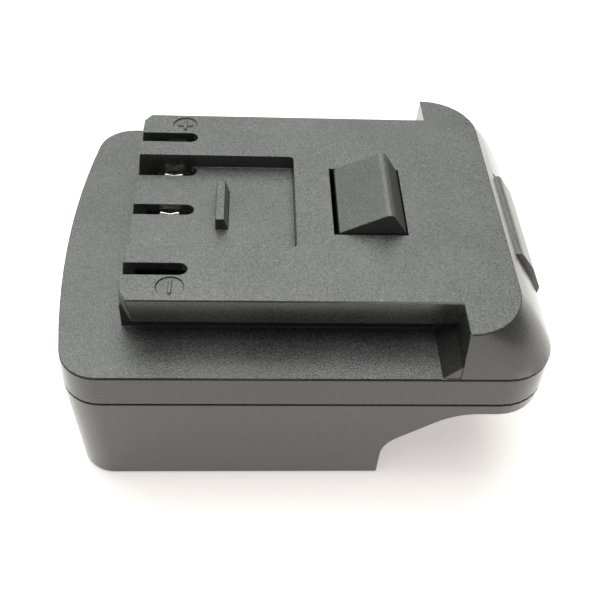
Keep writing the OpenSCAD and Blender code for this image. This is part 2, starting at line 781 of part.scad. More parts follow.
// Tulip clip: a base strip with two leaves that close to a throat and flare open at the top
module contact_clip(y) color("#c9a45c") {
    half = slot_w / 2 - hole_gap;
    throat = 0.2;
    throat_z = clip_h - 1.3;
    bend_z = clip_h - 3.6;
    leaf = [[half, 0], [half, bend_z], [throat + clip_t, throat_z], [half, clip_h],
        [half - clip_t, clip_h], [throat, throat_z], [half - clip_t, bend_z], [half - clip_t, clip_t]];
    other_leaf = [for (i = [len(leaf) - 1:-1:0]) [-leaf[i][0], leaf[i][1]]];
    translate([block_x + clip_start, y, board_top_z]) rotate([90, 0, 90]) linear_extrude(clip_len)
        polygon(concat(leaf, other_leaf));
}
module contact_positive() contact_clip(slot_ys[0]);
module contact_signal_a() contact_clip(slot_ys[1]);
module contact_signal_b() contact_clip(slot_ys[2]);
module contact_negative() contact_clip(slot_ys[3]);

module circuit_board() color("#1f6b3f") difference() {
    box([board_x, -board_w / 2, board_z], [board_x + board_len, board_w / 2, board_top_z]);
    both_sides() translate([board_screw_x, board_screw_y, board_z - cut])
        cylinder(r = small_screw_r + hole_gap, h = board_t + 2 * cut);
}

module id_resistors() color("#26262a") {
    chip_len = 1.6;
    chip_w = 3.2;
    chip_h = 0.7;
    chip_pitch = 4.6;
    chip_in = 1.8;
    for (k = [-1, 0, 1])
        translate([board_x + board_len - chip_in - chip_len, chip_pitch * k - chip_w / 2, board_top_z])
            cube([chip_len, chip_w, chip_h]);
}

module board_screws() color("#8d9094") both_sides()
    translate([board_screw_x, board_screw_y, board_z])
        screw(small_screw_r, board_t + small_screw_len - tip_gap, small_head_r, small_head_h);

module blade_holder() color("#2b2b2d") difference() {
    box([holder_x, -holder_w / 2, holder_z], [holder_x + holder_t, holder_w / 2, roof_z]);
    for (y = blade_ys)
        box([tab_x - sheet_gap, y - blade_t / 2 - sheet_gap, blade_z - sheet_gap],
            [holder_x + holder_t + cut, y + blade_t / 2 + sheet_gap, roof_z + cut]);
    both_sides() translate([holder_screw_x, holder_screw_y, roof_z - small_screw_len])
        cylinder(r = small_screw_r + screw_gap, h = small_screw_len + cut);
}

// Pack blade: a flat tongue in the receptacle and a solder tab up through the roof
module pack_blade(y) color("#c2a05a") {
    tip_x = holder_x + holder_t + blade_len;
    tip_cut = 1.5;
    top_z = blade_z + blade_h;
    translate([0, y, 0]) profile([[tab_x, blade_z], [tip_x - tip_cut, blade_z], [tip_x, blade_z + tip_cut],
        [tip_x, top_z - tip_cut], [tip_x - tip_cut, top_z], [tab_x + tab_len, top_z],
        [tab_x + tab_len, tab_top_z], [tab_x, tab_top_z]], blade_t);
}
module blade_positive() pack_blade(blade_ys[0]);
module blade_signal() pack_blade(blade_ys[1]);
module blade_negative() pack_blade(blade_ys[2]);

module blade_holder_screws() color("#8d9094") both_sides()
    translate([holder_screw_x, holder_screw_y, parting_h]) rotate([180, 0, 0])
        screw(small_screw_r, roof_t + small_screw_len - tip_gap, small_head_r, small_head_h);

// Lead from the board's underside to the side of a blade's solder tab
function lead_pts() = concat(
    [[lead_run_x, board_z]],
    arc_pts([lead_run_x - lead_bend_r, lead_run_z + lead_bend_r], lead_bend_r, 0, -90, lead_steps),
    [[tab_x + lead_tab_in, lead_run_z]]);
module lead(blade_y, r) {
    y = blade_y - blade_t / 2 - sheet_gap - r;
    tube([for (p = lead_pts()) [p[0], y, p[1]]], r, lead_sides, [0, 1, 0]);
}
module lead_positive() color("#b3231e") lead(blade_ys[0], power_lead_r);
module lead_signal() color("#d8c23a") lead(blade_ys[1], signal_lead_r);
module lead_negative() color("#1b1b1d") lead(blade_ys[2], power_lead_r);

module case_screws() color("#77797c") {
    head_z = roof_z + case_head_h + hole_gap;
    at_wells() translate([0, 0, well_depth])
        screw(case_screw_r, parting_h + case_screw_len - tip_gap - well_depth, case_head_r, case_head_h);
    at_end_screws() translate([0, 0, head_z])
        screw(case_screw_r, parting_h + case_screw_len - tip_gap - head_z, case_head_r, case_head_h);
}

upper_case();
lower_case();
release_latch();
latch_spring_near();
latch_spring_far();
contact_positive();
contact_signal_a();
contact_signal_b();
contact_negative();
circuit_board();
id_resistors();
board_screws();
blade_holder();
blade_positive();
blade_signal();
blade_negative();
blade_holder_screws();
lead_positive();
lead_signal();
lead_negative();
case_screws();
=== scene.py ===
"""Looks of a tool battery adapter, dressed around its CAD frame.

Metres, +Z up, +X towards the release button. MM turns the millimetres written here into metres.
"""

import json
import math

import bmesh
import bpy
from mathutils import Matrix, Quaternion, Vector


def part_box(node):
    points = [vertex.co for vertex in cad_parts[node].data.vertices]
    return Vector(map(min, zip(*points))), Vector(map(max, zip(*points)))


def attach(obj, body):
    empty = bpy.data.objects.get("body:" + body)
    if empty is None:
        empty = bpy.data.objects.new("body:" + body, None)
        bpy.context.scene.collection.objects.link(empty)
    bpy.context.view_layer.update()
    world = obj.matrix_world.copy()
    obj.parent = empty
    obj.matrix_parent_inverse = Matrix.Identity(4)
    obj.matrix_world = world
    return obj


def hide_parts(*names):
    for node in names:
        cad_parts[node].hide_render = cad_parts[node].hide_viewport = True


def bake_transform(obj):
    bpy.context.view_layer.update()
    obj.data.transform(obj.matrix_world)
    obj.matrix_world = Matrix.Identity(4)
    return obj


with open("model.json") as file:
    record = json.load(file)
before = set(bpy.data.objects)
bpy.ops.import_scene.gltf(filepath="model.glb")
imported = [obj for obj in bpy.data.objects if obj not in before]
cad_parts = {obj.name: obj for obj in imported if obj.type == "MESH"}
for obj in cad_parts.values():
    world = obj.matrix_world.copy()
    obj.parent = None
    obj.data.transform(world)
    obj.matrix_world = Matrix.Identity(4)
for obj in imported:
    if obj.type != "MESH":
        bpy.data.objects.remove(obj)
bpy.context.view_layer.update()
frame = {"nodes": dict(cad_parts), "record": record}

MM = 0.001
nodes = frame["nodes"]
record = frame["record"]
body_of = {node: body for body, group in record["behaviour"]["bodies"].items() for node in group}
slot_of = {part["node"]: part["material_slot"] for part in record["subparts"]}


# Node trees

class Value:
    """A socket in a node tree. Operators on it add Math nodes."""

    def __init__(self, graph, socket):
        self.graph = graph
        self.socket = socket

    def math(self, operation, *others):
        return self.graph.node("ShaderNodeMath", {"operation": operation}, [self, *others])

    def reflected(self, operation, other):
        return self.graph.node("ShaderNodeMath", {"operation": operation}, [other, self])

    def __add__(self, other):
        return self.math("ADD", other)

    def __sub__(self, other):
        return self.math("SUBTRACT", other)

    def __mul__(self, other):
        return self.math("MULTIPLY", other)

    def __truediv__(self, other):
        return self.math("DIVIDE", other)

    def __rsub__(self, other):
        return self.reflected("SUBTRACT", other)

    def __rtruediv__(self, other):
        return self.reflected("DIVIDE", other)

    __radd__ = __add__
    __rmul__ = __mul__

    def clamped(self):
        return self.math("MAXIMUM", 0).math("MINIMUM", 1)

    def spread(self, gain):
        """More contrast about the middle, for noise that seldom leaves it."""
        return ((self - 0.5) * gain + 0.5).clamped()


class Graph:
    """A node tree with one way to add a node."""

    def __init__(self, tree):
        self.tree = tree
        tree.nodes.clear()

    def node(self, kind, settings=None, inputs=None, output=0):
        made = self.tree.nodes.new(kind)
        for key, value in (settings or {}).items():
            if key == "points":
                self.set_points(made.mapping, value)
            else:
                setattr(made, key, value)
        pairs = enumerate(inputs) if isinstance(inputs, list) else (inputs or {}).items()
        for key, value in pairs:
            self.feed(made.inputs[key], value)
        return Value(self, made.outputs[output]) if made.outputs else None

    def feed(self, socket, value):
        """Links a value, or each of a list of values, or sets a plain number or colour."""
        if isinstance(value, list):
            for one in value:
                self.tree.links.new(one.socket, socket)
        elif isinstance(value, Value):
            self.tree.links.new(value.socket, socket)
        else:
            socket.default_value = value

    def set_points(self, mapping, points):
        """Draws the line of a Float Curve node through the points, which start at 0 and end at 1."""
        line = mapping.curves[0].points
        while len(line) < len(points):
            line.new(1, 1)
        for point, place in zip(line, points):
            point.location = place
        mapping.update()

    def mixed(self, share, first, second):
        colours = {"Factor": share, "A": first, "B": second}
        return self.node("ShaderNodeMix", {"data_type": "RGBA"}, colours, "Result")


class Finish(Graph):
    """A material on Object coordinates."""

    def __init__(self, name):
        self.material = bpy.data.materials.new(name)
        self.material.use_nodes = True
        super().__init__(self.material.node_tree)
        self.place = self.node("ShaderNodeTexCoord", output="Object")

    def stretched(self, x, y, z):
        return self.node("ShaderNodeMapping", {}, {"Vector": self.place, "Scale": (x, y, z)})

    def noise(self, size, detail=2, place=None):
        inputs = {"Vector": place or self.place, "Scale": 1 / size, "Detail": detail}
        return self.node("ShaderNodeTexNoise", {}, inputs)

    def levelness(self, steep, level):
        """0 on walls and 1 on faces that look up or down."""
        normal = self.node("ShaderNodeNewGeometry", output="Normal")
        up = self.node("ShaderNodeSeparateXYZ", {}, [normal], "Z").math("ABSOLUTE")
        limits = {"Value": up, "From Min": steep, "From Max": level}
        return self.node("ShaderNodeMapRange", {"interpolation_type": "SMOOTHSTEP"}, limits)

    def bump(self, height, depth):
        return self.node("ShaderNodeBump", {}, {"Strength": 1.0, "Distance": depth, "Height": height})

    def finish(self, **sockets):
        named = {name.replace("_", " "): value for name, value in sockets.items()}
        shader = self.node("ShaderNodeBsdfPrincipled", {}, named)
        self.node("ShaderNodeOutputMaterial", {}, {"Surface": shader})
        return self.material


class Shape(Graph):
    """A Geometry Nodes tree with named sizes, which grows a piece from points or along a path."""

    def __init__(self, name, *sizes):
        super().__init__(bpy.data.node_groups.new(name, "GeometryNodeTree"))
        face = self.tree.interface
        face.new_socket("Geometry", in_out="OUTPUT", socket_type="NodeSocketGeometry")
        face.new_socket("Geometry", in_out="INPUT", socket_type="NodeSocketGeometry")
        self.keys = {}
        for size in sizes:
            made = face.new_socket(size, in_out="INPUT", socket_type="NodeSocketFloat")
            self.keys[size] = made.identifier
        self.base = self.node("NodeGroupInput", output="Geometry")
        entry = self.base.socket.node
        self.sizes = [Value(self, entry.outputs[size]) for size in sizes]

    def vector(self, x, y, z):
        return self.node("ShaderNodeCombineXYZ", {}, [x, y, z])

    def axes(self):
        at = self.node("GeometryNodeInputPosition")
        return [self.node("ShaderNodeSeparateXYZ", {}, [at], axis) for axis in "XYZ"]

    def moved(self, form, place):
        return self.node("GeometryNodeSetPosition", {}, {"Geometry": form, "Position": place})

    def smooth(self, form):
        return self.node("GeometryNodeSetShadeSmooth", {}, {"Geometry": form})

    def joined(self, *forms):
        return self.node("GeometryNodeJoinGeometry", {}, {"Geometry": list(forms)})

    def on_points(self, points, form, **inputs):
        return self.node("GeometryNodeInstanceOnPoints", {}, {"Points": points, "Instance": form, **inputs})

    def block(self, x, y, z, place):
        form = self.node("GeometryNodeMeshCube", {}, {"Size": self.vector(x, y, z)}, "Mesh")
        moves = {"Geometry": form, "Translation": self.vector(*place)}
        return self.node("GeometryNodeTransform", {}, moves)

    def tube(self, route, radius, sides=16):
        circle = {"Resolution": sides, "Radius": radius}
        ring = self.node("GeometryNodeCurvePrimitiveCircle", {}, circle, "Curve")
        inputs = {"Curve": route, "Profile Curve": ring, "Fill Caps": True}
        return self.smooth(self.node("GeometryNodeCurveToMesh", {}, inputs))

    def turned(self, steps, rows, profile):
        """A closed round form. Its profile gives radius and height for a turn and a share of the length."""
        seam = 0.001 * MM
        counts = {"Size X": 1, "Size Y": 1, "Vertices X": steps + 1, "Vertices Y": rows + 1}
        sheet = self.node("GeometryNodeMeshGrid", {}, counts, "Mesh")
        across, along, _ = self.axes()
        turn = across + 0.5
        radius, height = profile(turn, along + 0.5)
        angle = turn * math.tau
        place = self.vector(radius * angle.math("COSINE"), radius * angle.math("SINE"), height)
        wrapped = {"Geometry": self.moved(sheet, place), "Distance": seam}
        return self.smooth(self.node("GeometryNodeMergeByDistance", {}, wrapped))

    def finish(self, *parts):
        """Ends the tree: each form becomes plain faces in its own material."""
        dressed = []
        for form, material in parts:
            plain = self.node("GeometryNodeRealizeInstances", {}, {"Geometry": form})
            coat = {"Geometry": plain, "Material": material}
            dressed.append(self.node("GeometryNodeSetMaterial", {}, coat))
        self.node("NodeGroupOutput", {}, {"Geometry": self.joined(*dressed)})
        return self

    def grown(self, name, base, sizes):
        """A plain mesh piece of what the tree makes from a base mesh, with lengths in metres."""
        piece = new_object(name, base)
        modifier = piece.modifiers.new("shape", "NODES")
        modifier.node_group = self.tree
        for size, value in sizes.items():
            modifier[self.keys[size]] = value
        return made_plain(piece)


# Finishes

def grey(level, warmth=0.0):
    """A grey colour, with some red in it where it is warm."""
    return (level * (1 + warmth), level, level * (1 - warmth), 1)


def moulded_plastic(name, shade, grain_and_painted_sheen, gloss, grain=0.28 * MM, depth=0.1 * MM, wall_grain=0.2):
    """Black plastic from a spark-eroded mould: full grain on level faces, shallower on the walls. Level
    faces also get a lighter base colour than the walls, which is painted top light.
    """
    # Share of the painted top light, and of the grain's colour, that the walls keep
    wall_share_of_painted_light = 0.3
    mottle_size = 16 * MM
    dust_size = 0.9 * MM
    dust_from = 0.77
    f = Finish(name)
    level = f.levelness(steep=0.75, level=0.95)
    relief = wall_grain + (1 - wall_grain) * level
    # Painted top light: level faces take the light colour fully, walls only a share of it
    painted_top_light = wall_share_of_painted_light + (1 - wall_share_of_painted_light) * level
    coarse = f.noise(grain, 1)
    fine = f.noise(0.4 * grain, 1)
    mottle = f.noise(mottle_size, 3) - 0.5
    speckle = coarse.spread(1.9)
    dust = (f.noise(dust_size, 0) - dust_from).clamped() * 6
    # Base colour: random grain, mottle and dust, lifted towards the light colour on level faces as painted
    # top light
    grain_and_painted_light = (speckle + 0.5 * mottle + dust).clamped() * painted_top_light
    roughness = gloss + 0.02 * level + 0.12 * (fine - 0.5) + 0.1 * mottle
    return f.finish(Base_Color=f.mixed(grain_and_painted_light, shade, grain_and_painted_sheen), Roughness=roughness, IOR=1.62,
                    Normal=f.bump((0.7 * coarse + 0.3 * fine) * relief, depth))


def plated_strip(name, bright, dull):
    """Plated sheet metal with rolling marks and a little tarnish."""
    f = Finish(name)
    rolled = f.noise(0.12 * MM, place=f.stretched(0.08, 1, 1))
    tarnish = (f.noise(2.5 * MM, 3) * 1.6 - 0.4).clamped()
    return f.finish(Base_Color=f.mixed(tarnish, bright, dull), Metallic=1.0,
                    Roughness=0.16 + 0.14 * tarnish + 0.1 * rolled, Normal=f.bump(rolled, 0.008 * MM))


def zinc_steel(name):
    """Zinc plated steel, slightly blotchy."""
    f = Finish(name)
    blotch = f.noise(0.9 * MM, 3)
    grain = f.noise(0.08 * MM, 1)
    return f.finish(Base_Color=f.mixed(blotch, grey(0.34), grey(0.56, 0.03)), Metallic=1.0,
                    Roughness=0.26 + 0.22 * blotch, Normal=f.bump(grain, 0.004 * MM))


def drawn_wire(name):
    """Hard-drawn spring wire, slightly streaked."""
    f = Finish(name)
    streak = f.noise(0.3 * MM)
    return f.finish(Base_Color=f.mixed(streak, grey(0.38), grey(0.62)), Metallic=1.0,
                    Roughness=0.22 + 0.2 * streak)


def board_laminate(name):
    """Green solder mask over copper tracks, with bare laminate on the cut edges."""
    mask_green, track_green = (0.004, 0.028, 0.012, 1), (0.01, 0.06, 0.026, 1)
    edge_brown, edge_straw = (0.42, 0.36, 0.2, 1), (0.55, 0.48, 0.3, 1)
    block = 9 * MM
    f = Finish(name)
    rows = {"offset": 0.27, "offset_frequency": 3, "squash": 2.4, "squash_frequency": 2}
    grid = {"Vector": f.place, "Scale": 1 / block, "Brick Width": 0.62, "Row Height": 0.34,
            "Mortar Size": 0.035, "Color1": grey(0), "Color2": grey(0), "Mortar": grey(1)}
    tracks = f.node("ShaderNodeTexBrick", rows, grid, "Fac")
    mask = f.mixed(tracks, mask_green, track_green)
    edge = f.mixed(f.noise(0.5 * MM, 1), edge_brown, edge_straw)
    face = f.levelness(steep=0.5, level=0.9)
    return f.finish(Base_Color=f.mixed(face, edge, mask), Roughness=0.6 - 0.32 * face,
                    Normal=f.bump(tracks * face, 0.03 * MM))


def insulation(name, colour, shade):
    """Soft wire insulation with a faint drag texture."""
    f = Finish(name)
    drag = f.noise(0.25 * MM)
    return f.finish(Base_Color=f.mixed(drag, shade, colour), Roughness=0.32 + 0.15 * drag,
                    Normal=f.bump(drag, 0.01 * MM))


def bright_solder(name):
    """Tin solder, smooth with a frosted skin."""
    f = Finish(name)
    frost = f.noise(0.3 * MM, 3)
    return f.finish(Base_Color=f.mixed(frost, grey(0.55), grey(0.74)), Metallic=1.0,
                    Roughness=0.2 + 0.2 * frost)


def chip_ceramic(name):
    """Black glaze on top of a chip resistor."""
    f = Finish(name)
    cloud = f.noise(0.6 * MM)
    return f.finish(Base_Color=f.mixed(cloud, grey(0.012), grey(0.03)), Roughness=0.3 + 0.2 * cloud)


# Each plastic's second colour is its light grain colour, partly painted sheen: level faces take most of it
# as painted top light
finishes = {
    "case_plastic": moulded_plastic("case_plastic", grey(0.014), grey(0.14), gloss=0.2),
    "lower_plastic": moulded_plastic("lower_plastic", grey(0.016, 0.02), grey(0.12, 0.02), gloss=0.2),
    "latch_plastic": moulded_plastic("latch_plastic", grey(0.02), grey(0.15), gloss=0.3,
                                     grain=0.3 * MM, depth=0.05 * MM, wall_grain=0.5),
    "holder_plastic": moulded_plastic("holder_plastic", grey(0.012), grey(0.036), gloss=0.42,
                                      grain=0.3 * MM, depth=0.02 * MM, wall_grain=0.8),
    "contact_metal": plated_strip("contact_metal", bright=(0.92, 0.9, 0.86, 1), dull=(0.74, 0.7, 0.62, 1)),
    "blade_metal": plated_strip("blade_metal", bright=(0.84, 0.8, 0.7, 1), dull=(0.6, 0.52, 0.38, 1)),
    "screw_steel": zinc_steel("screw_steel"),
    "spring_steel": drawn_wire("spring_steel"),
    "board_laminate": board_laminate("board_laminate"),
    "resistor_body": chip_ceramic("resistor_body"),
    "lead_red": insulation("lead_red", colour=(0.5, 0.025, 0.018, 1), shade=(0.34, 0.014, 0.01, 1)),
    "lead_yellow": insulation("lead_yellow", colour=(0.75, 0.52, 0.05, 1), shade=(0.55, 0.36, 0.03, 1)),
    "lead_black": insulation("lead_black", colour=grey(0.022), shade=grey(0.012)),
}
solder = bright_solder("solder")


# Objects and the boxes of CAD nodes

# Corners of a CAD node that lie closer than this are one
MERGE = 0.012 * MM


def new_object(name, data):
    """An object for a mesh, a light or a camera."""
    made = bpy.data.objects.new(name, data)
    bpy.context.scene.collection.objects.link(made)
    return made


def made_plain(piece):
    """Turns what a piece's modifiers give into its own mesh."""
    depsgraph = bpy.context.evaluated_depsgraph_get()
    mesh = bpy.data.meshes.new_from_object(piece.evaluated_get(depsgraph))
    piece.modifiers.clear()
    piece.data = mesh
    mesh.name = piece.name
    return piece


def merged(name, pieces):
    """One piece of several that share a material."""
    shape = bmesh.new()
    for piece in pieces:
        shape.from_mesh(piece.data)
    whole, *others = pieces
    shape.to_mesh(whole.data)
    shape.free()
    for other in others:
        bpy.data.objects.remove(other)
    whole.name = name
    whole.data.name = name
    return whole


def takes_place(piece, node):
    """The piece hides a CAD node."""
    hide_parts(node)
    return piece


def stands_for(piece, node):
    """The piece rides where a CAD node rides and takes its place."""
    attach(piece, body_of[node])
    return takes_place(piece, node)


def points_at(name, places, linked=False):
    """A base mesh of bare points, in millimetres, joined up into a path if linked."""
    mesh = bpy.data.meshes.new(name)
    links = [(step, step + 1) for step in range(len(places) - 1)] if linked else []
    mesh.from_pydata([Vector(place) * MM for place in places], links, [])
    return mesh


def node_box(node):
    """Low and high corners of a CAD node, in millimetres."""
    low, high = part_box(node)
    return Vector(low) / MM, Vector(high) / MM


def merged_copy(node):
    """A CAD node's faces, joined where they meet."""
    shape = bmesh.new()
    shape.from_mesh(nodes[node].data)
    bmesh.ops.remove_doubles(shape, verts=shape.verts, dist=MERGE)
    return shape


def solid_boxes(node):
    """Low and high corners of each solid of a CAD node, in millimetres and in order of X."""
    shape = merged_copy(node)
    left = set(shape.verts)
    boxes = []
    while left:
        solid = [left.pop()]
        for corner in solid:
            beside = {edge.other_vert(corner) for edge in corner.link_edges} & left
            left -= beside
            solid.extend(beside)
        axes = list(zip(*(corner.co / MM for corner in solid)))
        boxes.append((Vector(map(min, axes)), Vector(map(max, axes))))
    shape.free()
    return sorted(boxes, key=lambda box: tuple(box[0]))


def middle_at(low, high, z):
    """The middle of a box, at a height."""
    return Vector(((low.x + high.x) / 2, (low.y + high.y) / 2, z))


# Moulded and stamped pieces, rounded from the CAD nodes

# Faces that meet at less than FLAT are one plane, and at less than CURVE one curve.
# A rounded edge takes its normals from faces up to BLEND away.
FLAT = math.radians(0.6)
CURVE = math.radians(25)
BLEND = math.radians(50)
# Kinds of face
CURVED, PLANE, EDGE = range(3)


def sort_faces(shape, radius):
    """Tells planes from a curve's facets, and gives each sharp edge the rounding it has room for."""
    broad = 4.4 * MM
    curved_share = 0.35
    least_room = 0.2 * MM
    full_room = 2.5 * radius
    weight = shape.edges.layers.float.new("bevel_weight_edge")
    for face in shape.faces:
        perimeter = sum(edge.calc_length() for edge in face.edges)
        gentle = sum(edge.calc_length() for edge in face.edges if FLAT < edge.calc_face_angle(0) < CURVE)
        plane = 2 * face.calc_area() > broad * perimeter or gentle < curved_share * perimeter
        face.material_index = PLANE if plane else CURVED
    for edge in shape.edges:
        room = min(face.calc_area() for face in edge.link_faces) / edge.calc_length()
        sharp = edge.calc_face_angle(0) > CURVE and room > least_room
        edge[weight] = min(1, room / full_room) if sharp else 0


def corner_normal(corner):
    """A plane keeps its normal, a curve runs smoothly, and a rounded edge runs from face to face."""
    own = corner.face
    if own.material_index == PLANE:
        return own.normal.copy()
    reach = BLEND if own.material_index == EDGE else CURVE
    near = [other for other in corner.vert.link_loops if own.normal.angle(other.face.normal, 0) < reach]
    planes, curves, edges = (
        [other for other in near if other.face.material_index == kind] for kind in (PLANE, CURVED, EDGE)
    )
    if planes:
        return max((other.face for other in planes), key=lambda plane: plane.calc_area()).normal.copy()
    parts = [other.face.normal * other.calc_angle() * other.face.calc_area() for other in curves or edges]
    return sum(parts, Vector()).normalized()


def blend_normals(mesh):
    """Gives each corner its own normal, and leaves the mesh with one material."""
    shape = bmesh.new()
    shape.from_mesh(mesh)
    normals = [corner_normal(corner) for face in shape.faces for corner in face.loops]
    shape.free()
    mesh.shade_smooth()
    mesh.normals_split_custom_set(normals)
    for polygon in mesh.polygons:
        polygon.material_index = 0
    while len(mesh.materials) > 1:
        mesh.materials.pop()


def edge_rounded(name, node, radius, segments=3):
    """A copy of a CAD node with its sharp edges rounded.

    While it is made, its material indices tell planes, curves and rounded edges apart.
    """
    shape = merged_copy(node)
    bmesh.ops.dissolve_limit(shape, angle_limit=FLAT, verts=shape.verts, edges=shape.edges)
    sort_faces(shape, radius)
    bmesh.ops.triangulate(shape, faces=shape.faces)
    mesh = bpy.data.meshes.new(name)
    for _ in (CURVED, PLANE, EDGE):
        mesh.materials.append(finishes[slot_of[node]])
    shape.to_mesh(mesh)
    shape.free()
    piece = new_object(name, mesh)
    bevel = piece.modifiers.new("edges", "BEVEL")
    bevel.width = radius
    bevel.segments = segments
    bevel.limit_method = "WEIGHT"
    bevel.use_clamp_overlap = False
    bevel.loop_slide = False
    bevel.material = EDGE
    made_plain(piece)
    blend_normals(piece.data)
    return stands_for(piece, node)


# Pieces grown from points and paths

def screw_shape():
    """A screw on each point: domed head with a cross recess, and a threaded shank that ends in a cone."""
    s = Shape("screw", "Head radius", "Head height", "Shank radius", "Shank length", "Pitch", "Flip")
    head_r, head_h, shank_r, length, pitch, flip = s.sizes
    rim = [(0, 0), (0.3, 0.62), (0.5, 0.9), (0.62, 1), (0.74, 1), (0.82, 0.95), (1, 0)]
    drop = [(0, 0), (0.3, 0.06), (0.5, 0.3), (0.62, 0.64), (0.74, 0.92), (0.82, 1), (1, 1)]
    thread_depth = 0.24
    closing_share = 1 / 40
    cone_share = 1 / 5
    recess_length = 1.2
    recess_width = 0.24

    def dome(_, share):
        radius = s.node("ShaderNodeFloatCurve", {"points": rim}, {"Value": share}) * head_r
        height = s.node("ShaderNodeFloatCurve", {"points": drop}, {"Value": share}) * head_h - head_h
        return radius, height

    def thread(turn, share):
        height = share * length
        flank = ((height / pitch - turn).math("FRACT") * 2 - 1).math("ABSOLUTE")
        ends = (share / closing_share).clamped() * ((1 - share) / cone_share).clamped()
        return shank_r * (1 - thread_depth * flank) * ends, height

    long = head_r * recess_length
    narrow = head_r * recess_width
    crown = (0, 0, 0 - head_h)
    bars = [s.block(long, narrow, head_h, crown), s.block(narrow, long, head_h, crown)]
    cut = {"Mesh 1": s.turned(steps=36, rows=28, profile=dome), "Mesh 2": bars}
    head = s.node("GeometryNodeMeshBoolean", {"operation": "DIFFERENCE", "solver": "EXACT"}, cut)
    one = s.joined(head, s.turned(steps=20, rows=120, profile=thread))
    placed = s.on_points(s.base, one, Rotation=s.vector(flip, 0, 0))
    return s.finish((placed, finishes["screw_steel"]))


def spring_shape():
    """Wound wire on each point, with closed coils at both ends."""
    s = Shape("spring", "Mean radius", "Wire radius", "Length", "Coils")
    mean_r, wire_r, length, coils = s.sizes
    winding = {"Resolution": 28, "Rotations": coils, "Height": 1,
               "Start Radius": mean_r, "End Radius": mean_r}
    spiral = s.node("GeometryNodeCurveSpiral", {}, winding, "Curve")
    x, y, share = s.axes()
    first = (share * coils).clamped()
    last = ((share - 1) * coils + 1).clamped()
    free = ((share * coils - 1) / (coils - 2)).clamped()
    height = wire_r + 2 * wire_r * (first + last) + (length - 6 * wire_r) * free
    wire = s.tube(s.moved(spiral, s.vector(x, y, height)), wire_r, sides=12)
    return s.finish((s.on_points(s.base, wire), finishes["spring_steel"]))


def chip_shape():
    """A chip resistor on each point: dark glazed body, tinned end caps and flat pads of solder."""
    s = Shape("chip", "Width", "Length", "Height")
    width, length, height = s.sizes
    inset, body_share, cap_share = 0.94, 0.7, 0.18
    pad_width, pad_share, pad_rise, pad_at = 1.12, 0.22, 0.16, 0.47
    cap_at = 0.5 - cap_share / 2
    body = s.block(width * inset, length * body_share, height * inset, (0, 0, height / 2))
    ends = []
    for side in (-1, 1):
        cap_place = (0, length * cap_at * side, height / 2)
        pad_place = (0, length * pad_at * side, height * pad_rise / 2)
        ends.append(s.block(width, length * cap_share, height, cap_place))
        ends.append(s.block(width * pad_width, length * pad_share, height * pad_rise, pad_place))
    caps = s.on_points(s.base, s.joined(*ends))
    return s.finish((s.on_points(s.base, body), finishes["resistor_body"]), (caps, solder))


def lead_shape(slot):
    """An insulated lead along the base path, with bare tinned ends and a bead of solder on each."""
    s = Shape(slot, "Radius", "Bare share")
    radius, bare = s.sizes
    bead_share = 1.12
    core_share = 0.6
    path = s.node("GeometryNodeMeshToCurve", {}, {"Mesh": s.base})
    covered = s.node("GeometryNodeTrimCurve", {}, {"Curve": path, "Start": bare, "End": 1 - bare})
    sheath = s.tube(covered, radius, sides=20)
    ball = {"Segments": 20, "Rings": 12, "Radius": radius * bead_share}
    bead = s.node("GeometryNodeMeshUVSphere", {}, ball, "Mesh")
    ends = s.node("GeometryNodeCurveEndpointSelection")
    beads = s.on_points(path, s.smooth(bead), Selection=ends)
    core = s.tube(path, radius * core_share)
    return s.finish((sheath, finishes[slot]), (s.joined(core, beads), solder))


def fit_screws():
    """Screws of the case, the board and the holder, in pairs along X. The holder's point down."""
    screw = screw_shape()
    wide = {"Head height": 1.7 * MM, "Shank radius": 1.25 * MM, "Pitch": 0.8 * MM}
    small = {"Head height": 1.5 * MM, "Shank radius": 1 * MM, "Pitch": 0.6 * MM}

    def pair(name, boxes, sizes, down):
        low, high = boxes[0]
        head_h = sizes["Head height"] / MM
        seat = high.z - head_h if down else low.z + head_h
        lengths = {"Head radius": (high.x - low.x) / 2 * MM, "Shank length": (high.z - low.z - head_h) * MM}
        places = [middle_at(*box, seat) for box in boxes]
        turn = {"Flip": math.pi if down else 0.0}
        return screw.grown(name, points_at(f"{name}_seats", places), {**sizes, **lengths, **turn})

    for name, node, sizes, down in (
        ("case_fasteners", "case_screws", wide, False),
        ("board_fasteners", "board_screws", small, False),
        ("holder_fasteners", "blade_holder_screws", small, True),
    ):
        boxes = solid_boxes(node)
        pairs = [pair(name, boxes[at:at + 2], sizes, down) for at in range(0, len(boxes), 2)]
        stands_for(merged(name, pairs), node)


def fit_springs():
    """The two springs under the latch. They stand on the case."""
    spring = spring_shape()
    sizes = {"Mean radius": 2.6 * MM, "Wire radius": 0.35 * MM, "Coils": 7.0}
    for side in ("near", "far"):
        node = f"latch_spring_{side}"
        low, high = node_box(node)
        foot = middle_at(low, high, low.z)
        lengths = {**sizes, "Length": (high.z - low.z) * MM}
        coil = spring.grown(f"coil_{side}", points_at(f"foot_{side}", [foot]), lengths)
        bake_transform(coil)
        takes_place(coil, node)


